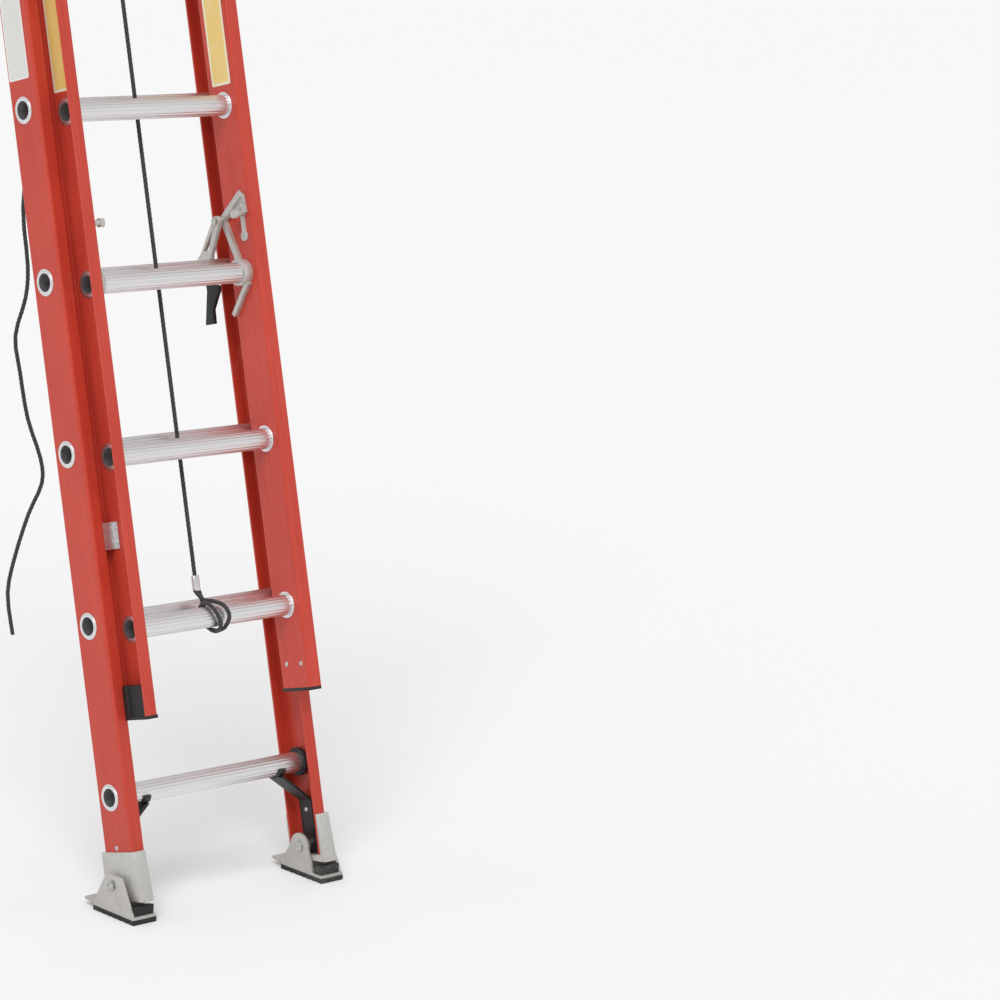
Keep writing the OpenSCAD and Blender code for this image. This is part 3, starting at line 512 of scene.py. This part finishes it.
def build_laid_rope():
    """Three strands laid round each other along the edges of the host mesh."""
    tree, given = group_tree(
        "GeometryNodeTree", "laid_rope",
        [("Geometry", "Geometry", None), ("Diameter", "Float", 0.008), ("Lay", "Float", 0.027),
         ("Step", "Float", 0.002), ("Sides", "Int", 24), ("Groove", "Float", 0.3),
         ("Material", "Material", None)],
        [("Geometry", "Geometry")])
    line = tree.add("GeometryNodeMeshToCurve", {0: given["Geometry"]})
    line = tree.add("GeometryNodeResampleCurve", {0: line, "Length": given["Step"]}, mode="LENGTH")
    length = tree.add("GeometryNodeSplineParameter", out=1)
    twist = tree.maths("MULTIPLY", tree.maths("DIVIDE", length, given["Lay"]), 2 * pi)
    line = tree.add("GeometryNodeSetCurveTilt", {"Curve": line, "Tilt": twist})
    line = tree.add(
        "GeometryNodeStoreNamedAttribute", {"Geometry": line, "Name": "along", "Value": length},
        data_type="FLOAT", domain="POINT")
    ring = tree.add(
        "GeometryNodeCurvePrimitiveCircle",
        {"Resolution": given["Sides"], "Radius": tree.maths("MULTIPLY", given["Diameter"], 0.5)})
    share = tree.maths("DIVIDE", tree.add("GeometryNodeInputIndex"), given["Sides"])
    strand = tree.maths("ABSOLUTE", tree.maths("SINE", tree.maths("MULTIPLY", share, 3 * pi)))
    valley = tree.maths("POWER", tree.maths("SUBTRACT", 1.0, strand), 2.0)
    swell = tree.maths("SUBTRACT", 1.0, tree.maths("MULTIPLY", valley, given["Groove"]))
    centre = tree.add("GeometryNodeInputPosition")
    place = tree.add("ShaderNodeVectorMath", {0: centre, "Scale": swell}, operation="SCALE")
    ring = tree.add("GeometryNodeSetPosition", {"Geometry": ring, "Position": place})
    ring = tree.add(
        "GeometryNodeStoreNamedAttribute", {"Geometry": ring, "Name": "around", "Value": share},
        data_type="FLOAT", domain="POINT")
    skin = tree.add("GeometryNodeCurveToMesh", {0: line, "Profile Curve": ring, "Fill Caps": True})
    skin = tree.add("GeometryNodeRealizeInstances", {0: skin})
    tree.finish([tree.add("GeometryNodeSetMaterial", {0: skin, "Material": given["Material"]})])
    return tree.tree


LAID_ROPE = build_laid_rope()


def rope(name, points, body, *nodes):
    """A length of the ladder's rope along the points."""
    edges = [(i, i + 1) for i in range(len(points) - 1)]
    values = {"Diameter": ROPE_D, "Lay": LAY, "Step": ROPE_STEP, "Material": MATERIALS["rope"]}
    piece = grown(name, LAID_ROPE, points, values, edges)
    smooth(piece.data, 60)
    return dress(piece, "rope", body, *nodes)


def hang_tail():
    """The free end: over the wheel and down behind the rungs."""
    wrap = []
    for i in range(WRAP_STEPS + 1):
        turn = (pi - LEAN) * (1 - i / WRAP_STEPS)
        wrap.append(WHEEL + Vector((0, cos(turn), sin(turn))) * WHEEL_PITCH_R)
    rear = WHEEL.y + WHEEL_PITCH_R
    route = [(x, rear + back, share * WHEEL.z) for x, back, share in TAIL_ROUTE]
    points = wrap + smooth_through(route, 3)
    tail = rope("rope_tail_laid", points, "base_section", "rope_tail")


def stretch_run():
    """The taut stretch from the ferrule up to the wheel, laid at one length on the base section."""
    low = FERRULE_Z + FERRULE_L / 2 - FERRULE_GRIP
    high = in_rails(WHEEL)[1]
    points = [at(0, ROPE_Y, low + (high - low) * i / RUN_STEPS) for i in range(RUN_STEPS + 1)]
    run = rope("rope_run_laid", points, "base_section", "rope_run")
    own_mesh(run)


def tie_eye():
    """The eye: two loose turns round the lowest fly rung."""
    loop_r = RUNG_R + ROPE_D / 2 + EYE_GAP
    legs_high = FERRULE_Z - FERRULE_L / 2 + EYE_GRIP
    # place along the rung, bearing about it from the rear over the top, and how far it stands off
    turns = [
        (0.000, 62, 0.012), (0.006, 95, 0.003), (0.015, 140, 0.003), (0.019, 185, 0.004),
        (0.014, 235, 0.003), (0.006, 285, 0.001), (0.000, 335, 0.001), (-0.005, 385, 0.002),
        (-0.009, 430, 0.002), (-0.010, 480, 0.001), (-0.006, 530, 0.002), (0.002, 575, 0.003),
        (0.006, 620, 0.003), (0.008, 670, 0.004), (0.008, 715, 0.007), (0.007, 760, 0.011)]
    route = [at(-EYE_LEG, ROPE_Y, legs_high)]
    for x, bearing, off in turns:
        a = radians(bearing)
        route.append(at(x, FLY_Y + (loop_r + off) * cos(a), FLY_FIRST + (loop_r + off) * sin(a)))
    route.append(at(EYE_LEG, ROPE_Y, legs_high))
    rope("rope_eye_laid", smooth_through(route, 5), "fly_section", "rope_eye")


hang_tail()
stretch_run()
tie_eye()

# ---- rungs and their swaged collars ----

FLUTES = 20
FLUTE_DEPTH = 0.0006
RUNG_WALL = 0.0022
RUNG_STAND = 0.0024        # how far a rung's ends stand off its webs


def build_fluted_rung():
    """A fluted tube along X at each point of the host."""
    tree, given = group_tree(
        "GeometryNodeTree", "fluted_rung",
        [("Geometry", "Geometry", None), ("Length", "Float", 0.45), ("Radius", "Float", 0.019),
         ("Wall", "Float", 0.002), ("Flutes", "Int", 20), ("Depth", "Float", 0.0006),
         ("Material", "Material", None)],
        [("Geometry", "Geometry")])
    steps = 4
    outline = tree.add(
        "GeometryNodeCurvePrimitiveCircle",
        {"Resolution": tree.maths("MULTIPLY", given["Flutes"], steps), "Radius": given["Radius"]})
    phase = tree.maths("MODULO", tree.add("GeometryNodeInputIndex"), steps)
    sunk = tree.maths("MULTIPLY", tree.maths("GREATER_THAN", phase, 1.5), given["Depth"])
    swell = tree.maths("SUBTRACT", 1.0, tree.maths("DIVIDE", sunk, given["Radius"]))
    round_at = tree.add("GeometryNodeInputPosition")
    place = tree.add("ShaderNodeVectorMath", {0: round_at, "Scale": swell}, operation="SCALE")
    outline = tree.add("GeometryNodeSetPosition", {"Geometry": outline, "Position": place})
    bore = tree.add(
        "GeometryNodeCurvePrimitiveCircle",
        {"Resolution": 40, "Radius": tree.maths("SUBTRACT", given["Radius"], given["Wall"])})
    both = tree.add("GeometryNodeJoinGeometry", {0: [outline, bore]})
    section = tree.add("GeometryNodeFillCurve", {0: both})
    reach = tree.add("ShaderNodeCombineXYZ", {2: given["Length"]})
    side = tree.add(
        "GeometryNodeExtrudeMesh",
        {"Mesh": section, "Offset": reach, "Offset Scale": 1.0, "Individual": False}, mode="FACES")
    tube = tree.add("GeometryNodeJoinGeometry", {0: [section, side]})
    back = tree.add("ShaderNodeCombineXYZ", {2: tree.maths("MULTIPLY", given["Length"], -0.5)})
    tube = tree.add("GeometryNodeTransform", {"Geometry": tube, "Translation": back})
    tube = tree.add("GeometryNodeTransform", {"Geometry": tube, "Rotation": (0.0, pi / 2, 0.0)})
    row = tree.add("GeometryNodeInstanceOnPoints", {"Points": given["Geometry"], "Instance": tube})
    row = tree.add("GeometryNodeRealizeInstances", {0: row})
    tree.finish([tree.add("GeometryNodeSetMaterial", {0: row, "Material": given["Material"]})])
    return tree.tree


def build_collar():
    """A flat ring with a rolled bead, round the X axis at each point of the host."""
    tree, given = group_tree(
        "GeometryNodeTree", "swaged_collar",
        [("Geometry", "Geometry", None), ("Bore", "Float", 0.019), ("Width", "Float", 0.005),
         ("Thickness", "Float", 0.0026), ("Bead", "Float", 0.0026), ("Material", "Material", None)],
        [("Geometry", "Geometry")])
    rim = tree.add(
        "GeometryNodeCurvePrimitiveCircle",
        {"Resolution": 48, "Radius": tree.maths("ADD", given["Bore"], given["Width"])})
    hole = tree.add("GeometryNodeCurvePrimitiveCircle", {"Resolution": 48, "Radius": given["Bore"]})
    both = tree.add("GeometryNodeJoinGeometry", {0: [rim, hole]})
    washer = tree.add("GeometryNodeFillCurve", {0: both})
    side = tree.add(
        "GeometryNodeExtrudeMesh",
        {"Mesh": washer, "Offset": tree.add("ShaderNodeCombineXYZ", {2: given["Thickness"]}),
         "Offset Scale": 1.0, "Individual": False},
        mode="FACES")
    washer = tree.add("GeometryNodeJoinGeometry", {0: [washer, side]})
    centred = tree.add("ShaderNodeCombineXYZ", {2: tree.maths("MULTIPLY", given["Thickness"], -0.5)})
    washer = tree.add("GeometryNodeTransform", {"Geometry": washer, "Translation": centred})
    bead_at = tree.maths("ADD", given["Bore"], tree.maths("MULTIPLY", given["Bead"], 0.3))
    path = tree.add("GeometryNodeCurvePrimitiveCircle", {"Resolution": 48, "Radius": bead_at})
    section = tree.add("GeometryNodeCurvePrimitiveCircle", {"Resolution": 12, "Radius": given["Bead"]})
    bead = tree.add("GeometryNodeCurveToMesh", {0: path, "Profile Curve": section})
    collar = tree.add("GeometryNodeJoinGeometry", {0: [washer, bead]})
    collar = tree.add("GeometryNodeTransform", {"Geometry": collar, "Rotation": (0.0, pi / 2, 0.0)})
    row = tree.add("GeometryNodeInstanceOnPoints", {"Points": given["Geometry"], "Instance": collar})
    row = tree.add("GeometryNodeRealizeInstances", {0: row})
    tree.finish([tree.add("GeometryNodeSetMaterial", {0: row, "Material": given["Material"]})])
    return tree.tree


FLUTED_RUNG = build_fluted_rung()
COLLAR = build_collar()


def fit_rungs(name, body, half_length, faces, nodes, collar_node, bare=()):
    """One section's rungs, and a collar on every face of the webs that they pass through."""
    centres = [middle(node) for node in nodes]
    rungs = grown(
        name + "_rungs_fluted", FLUTED_RUNG, centres,
        {"Length": 2 * half_length, "Radius": RUNG_R, "Wall": RUNG_WALL, "Flutes": FLUTES,
         "Depth": FLUTE_DEPTH, "Material": MATERIALS["rung_aluminium"]})
    dress(rungs, "rung_aluminium", body, *nodes)
    seats = []
    for index, centre in enumerate(centres):
        for face in faces:
            if (index, face) in bare:
                continue
            seats += [Vector((side * face, centre.y, centre.z)) for side in (-1, 1)]
    collars = grown(
        name + "_collars", COLLAR, seats, {"Bore": RUNG_R, "Material": MATERIALS["bright_aluminium"]})
    smooth(collars.data, 40)
    dress(collars, "bright_aluminium", body, collar_node)


LOCK_RUNG = 2              # the fly rung that the lock brackets sit on, counted from 0
fit_rungs(
    "base", "base_section", WEB_OUT + RUNG_STAND, (WEB_OUT, WEB_IN),
    [f"base_rung_{i + 1}" for i in range(RUNGS)], "base_swages")
fit_rungs(
    "fly", "fly_section", FLY_OUT + RUNG_STAND, (FLY_OUT, FLY_IN),
    [f"fly_rung_{i + 1}" for i in range(RUNGS)], "fly_swages", bare=[(LOCK_RUNG, FLY_IN)])

# ---- cast, stamped and moulded parts: welded copies with rounded edges ----


def softened(node, width, body, angle=28):
    """A welded copy of a CAD node with its sharp edges rounded."""
    mesh = frame["nodes"][node].data.copy()
    work = bmesh.new()
    work.from_mesh(mesh)
    bmesh.ops.remove_doubles(work, verts=work.verts, dist=1e-6)
    bmesh.ops.dissolve_limit(work, angle_limit=radians(0.5), verts=work.verts, edges=work.edges)
    sharp = [e for e in work.edges if len(e.link_faces) == 2 and e.calc_face_angle() > radians(angle)]
    bmesh.ops.bevel(
        work, geom=sharp, offset=width, offset_type="OFFSET", segments=2, profile=0.5,
        affect="EDGES", clamp_overlap=True)
    work.to_mesh(mesh)
    work.free()
    piece = bpy.data.objects.new(node + "_finished", mesh)
    bpy.context.scene.collection.objects.link(piece)
    smooth(mesh, 30)
    return dress(piece, SLOT_OF[node], body, node)


SOFT_EDGES = {
    "boot": (0.0016, "base_section"), "brace": (0.0012, "base_section"),
    "shoe": (0.0012, "foot_{side}"), "pad": (0.0008, "foot_{side}"),
    "fly_guide": (0.0012, "fly_section"), "lock_bracket": (0.0008, "fly_section"),
    "lock_hook": (0.0010, "hook_{side}"), "lock_flipper": (0.0012, "flipper_{side}"),
}
for part, (width, body) in SOFT_EDGES.items():
    for side in ("left", "right"):
        softened(f"{part}_{side}", width, body.format(side=side))
for part, width, body in (
        ("base_top_caps", 0.0012, "base_section"), ("base_top_guides", 0.0010, "base_section"),
        ("pulley_clamp", 0.0008, "base_section"), ("pulley_bracket", 0.0006, "base_section"),
        ("fly_top_caps", 0.0012, "fly_section"), ("rail_clips", 0.0004, "fly_section"),
        ("foot_bolts", 0.0012, "base_section"), ("foot_nuts", 0.0010, "base_section"),
        ("brace_collars", 0.0012, "base_section"), ("pulley_axle", 0.0006, "base_section"),
        ("pulley_wheel", 0.0005, "pulley"), ("lock_pins", 0.0006, "fly_section"),
        ("rope_ferrule", 0.0008, "fly_section")):
    softened(part, width, body)

# ---- rivets and springs ----


def build_dome():
    """A low dome, turned to its face, at each point of the host."""
    tree, given = group_tree(
        "GeometryNodeTree", "rivet_dome",
        [("Geometry", "Geometry", None), ("Radius", "Float", 0.0047), ("Height", "Float", 0.002),
         ("Turn", "Vector", (0.0, 0.0, 0.0)), ("Material", "Material", None)],
        [("Geometry", "Geometry")])
    ball = tree.add("GeometryNodeMeshUVSphere", {"Segments": 28, "Rings": 14, "Radius": 1.0})
    size = tree.add("ShaderNodeCombineXYZ", {0: given["Radius"], 1: given["Radius"], 2: given["Height"]})
    dome = tree.add("GeometryNodeTransform", {"Geometry": ball, "Scale": size})
    dome = tree.add("GeometryNodeTransform", {"Geometry": dome, "Rotation": given["Turn"]})
    row = tree.add("GeometryNodeInstanceOnPoints", {"Points": given["Geometry"], "Instance": dome})
    row = tree.add("GeometryNodeRealizeInstances", {0: row})
    tree.finish([tree.add("GeometryNodeSetMaterial", {0: row, "Material": given["Material"]})])
    return tree.tree


def build_coil():
    """A coil spring along X at each point of the host."""
    tree, given = group_tree(
        "GeometryNodeTree", "coil_spring",
        [("Geometry", "Geometry", None), ("Radius", "Float", 0.0064), ("Wire", "Float", 0.0008),
         ("Turns", "Float", 2.0), ("Length", "Float", 0.004), ("Material", "Material", None)],
        [("Geometry", "Geometry")])
    coil = tree.add(
        "GeometryNodeCurveSpiral",
        {"Resolution": 32, "Rotations": given["Turns"], "Start Radius": given["Radius"],
         "End Radius": given["Radius"], "Height": given["Length"]})
    wire = tree.add("GeometryNodeCurvePrimitiveCircle", {"Resolution": 10, "Radius": given["Wire"]})
    coil = tree.add("GeometryNodeCurveToMesh", {0: coil, "Profile Curve": wire, "Fill Caps": True})
    centred = tree.add("ShaderNodeCombineXYZ", {2: tree.maths("MULTIPLY", given["Length"], -0.5)})
    coil = tree.add("GeometryNodeTransform", {"Geometry": coil, "Translation": centred})
    coil = tree.add("GeometryNodeTransform", {"Geometry": coil, "Rotation": (0.0, pi / 2, 0.0)})
    row = tree.add("GeometryNodeInstanceOnPoints", {"Points": given["Geometry"], "Instance": coil})
    row = tree.add("GeometryNodeRealizeInstances", {0: row})
    tree.finish([tree.add("GeometryNodeSetMaterial", {0: row, "Material": given["Material"]})])
    return tree.tree


DOME = build_dome()
COIL = build_coil()
DOME_R = 0.0047
DOME_H = 0.0017
HEAD_H = 0.0018            # height of a CAD rivet head, which is a plain disc


def solids_of(node):
    """The points of each separate solid of a CAD node."""
    work = bmesh.new()
    work.from_mesh(frame["nodes"][node].data)
    bmesh.ops.remove_doubles(work, verts=work.verts, dist=1e-6)
    left = set(work.verts)
    found = []
    while left:
        reached = [left.pop()]
        for vert in reached:
            for edge in vert.link_edges:
                other = edge.other_vert(vert)
                if other in left:
                    left.remove(other)
                    reached.append(other)
        found.append([v.co.copy() for v in reached])
    work.free()
    return found


def rivet_domes(node, body, turn, faces):
    """Domes for the heads of one CAD node's rivets; faces gives a head's place from the solid's points."""
    seats = [seat for points in solids_of(node) for seat in faces(points)]
    domes = grown(
        node + "_domed", DOME, seats,
        {"Radius": DOME_R, "Height": DOME_H, "Turn": turn, "Material": MATERIALS["zinc_steel"]})
    smooth(domes.data, 60)
    dress(domes, "zinc_steel", body, node)


def heads_across(*sunk):
    """Heads on faces square to X: how far inside the solid's inner and outer ends each face lies."""
    def faces(points):
        inner = min(abs(p.x) for p in points)
        outer = max(abs(p.x) for p in points)
        side = 1 if points[0].x > 0 else -1
        centre = sum(points, Vector()) / len(points)
        places = [inner + sunk[0]] + [outer - s for s in sunk[1:]]
        return [Vector((side * x, centre.y, centre.z)) for x in places]
    return faces


def heads_in_front(points):
    """Heads on the rails' front faces, a dome's height behind the solid's front end."""
    front = min(in_rails(p)[0] for p in points) + HEAD_H
    levels = [in_rails(p)[1] for p in points]
    across = (min(p.x for p in points) + max(p.x for p in points)) / 2
    return [at(across, front, (min(levels) + max(levels)) / 2)]


ALONG_X = (0.0, pi / 2, 0.0)
rivet_domes("lock_rivets", "fly_section", ALONG_X, heads_across(HEAD_H, HEAD_H))
rivet_domes("brace_rivets", "base_section", ALONG_X, heads_across(HEAD_H, HEAD_H))
rivet_domes("fly_guide_rivets", "fly_section", ALONG_X, heads_across(HEAD_H))
rivet_domes("guide_rivets", "base_section", (pi / 2 - LEAN, 0.0, 0.0), heads_in_front)

SPRING_WIRE = 0.0008


def wind_springs():
    """The coil springs round the hooks' pins."""
    low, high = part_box("lock_springs")
    inner = min(abs(p.x) for points in solids_of("lock_springs") for p in points)
    length = high.x - inner - 2 * SPRING_WIRE
    centre = middle("lock_springs")
    seats = [Vector((side * (high.x + inner) / 2, centre.y, centre.z)) for side in (-1, 1)]
    springs = grown(
        "lock_springs_wound", COIL, seats,
        {"Radius": (high.y - low.y) / 2 - SPRING_WIRE, "Wire": SPRING_WIRE, "Length": length,
         "Material": MATERIALS["zinc_steel"]})
    smooth(springs.data, 60)
    dress(springs, "zinc_steel", "fly_section", "lock_springs")


wind_springs()

# ---- labels, left blank ----

LABEL_T = 0.0003
LABEL_CORNER = 0.004
CORNER_STEPS = 6


def rounded(y0, y1, z0, z1, corner):
    """A rectangle's outline with round corners, in the rail frame's y and z."""
    outline = []
    for cy, cz, start in (
            (y1 - corner, z1 - corner, 0), (y0 + corner, z1 - corner, 90),
            (y0 + corner, z0 + corner, 180), (y1 - corner, z0 + corner, 270)):
        for k in range(CORNER_STEPS + 1):
            turn = radians(start + 90 * k / CORNER_STEPS)
            outline.append((cy + corner * cos(turn), cz + corner * sin(turn)))
    return outline


def stick_label(name, slot, body, x, facing, box, border):
    """A thin label on a web face at x; facing is 1 or -1 along X, box its y0, y1, z0, z1."""
    y0, y1, z0, z1 = box
    rim = rounded(y0, y1, z0, z1, LABEL_CORNER)
    field = rounded(y0 + border, y1 - border, z0 + border, z1 - border, LABEL_CORNER / 2)
    count = len(rim)
    top = x + facing * LABEL_T
    points = [at(x, *p) for p in rim] + [at(top, *p) for p in rim] + [at(top, *p) for p in field]
    faces = [list(range(count))]
    for i in range(count):
        j = (i + 1) % count
        faces.append([i, j, count + j, count + i])
        faces.append([count + i, count + j, 2 * count + j, 2 * count + i])
    faces.append([2 * count + i for i in range(count)])
    mesh = bpy.data.meshes.new(name)
    mesh.from_pydata([tuple(p) for p in points], [], faces)
    printed = mesh.attributes.new("printed", "FLOAT", "FACE")
    printed.data[len(faces) - 1].value = 1.0
    work = bmesh.new()
    work.from_mesh(mesh)
    bmesh.ops.recalc_face_normals(work, faces=work.faces)
    work.to_mesh(mesh)
    work.free()
    label = bpy.data.objects.new(name, mesh)
    bpy.context.scene.collection.objects.link(label)
    dress(label, slot, body)


stick_label(
    "base_label_left", "grey_label", "base_section", -WEB_OUT, -1,
    (-0.023, 0.035, 1.431, 1.640), 0.003)
stick_label(
    "fly_label_left", "yellow_label", "fly_section", -FLY_OUT, -1,
    (-0.090, -0.032, 1.400, 1.640), 0.005)
stick_label(
    "fly_label_right", "yellow_label", "fly_section", FLY_IN, -1,
    (-0.088, -0.035, 1.400, 1.640), 0.005)

# ---- floor and light ----


def lay_floor():
    """A plain pale floor."""
    half = 40.0
    mesh = bpy.data.meshes.new("floor")
    corners = [(-half, -half, 0), (half, -half, 0), (half, half, 0), (-half, half, 0)]
    mesh.from_pydata(corners, [], [(0, 1, 2, 3)])
    floor = bpy.data.objects.new("floor", mesh)
    bpy.context.scene.collection.objects.link(floor)
    m = Material("floor", roughness=0.9, base_color=colour(0.86, 0.86, 0.86))
    mesh.materials.append(m.material)


def light_scene():
    """A bright even room, and a broad key from the front left."""
    scene = bpy.context.scene
    world = bpy.data.worlds.new("studio")
    world.use_nodes = True
    background = world.node_tree.nodes["Background"]
    background.inputs["Color"].default_value = colour(1.0, 1.0, 1.0)
    background.inputs["Strength"].default_value = 0.7
    scene.world = world
    data = bpy.data.lights.new("key", "SUN")
    data.energy = 1.6
    data.angle = radians(30)
    key = bpy.data.objects.new("key", data)
    key.rotation_euler = (radians(38), 0, radians(-50))
    scene.collection.objects.link(key)
    scene.view_settings.view_transform = "Standard"


lay_floor()
light_scene()
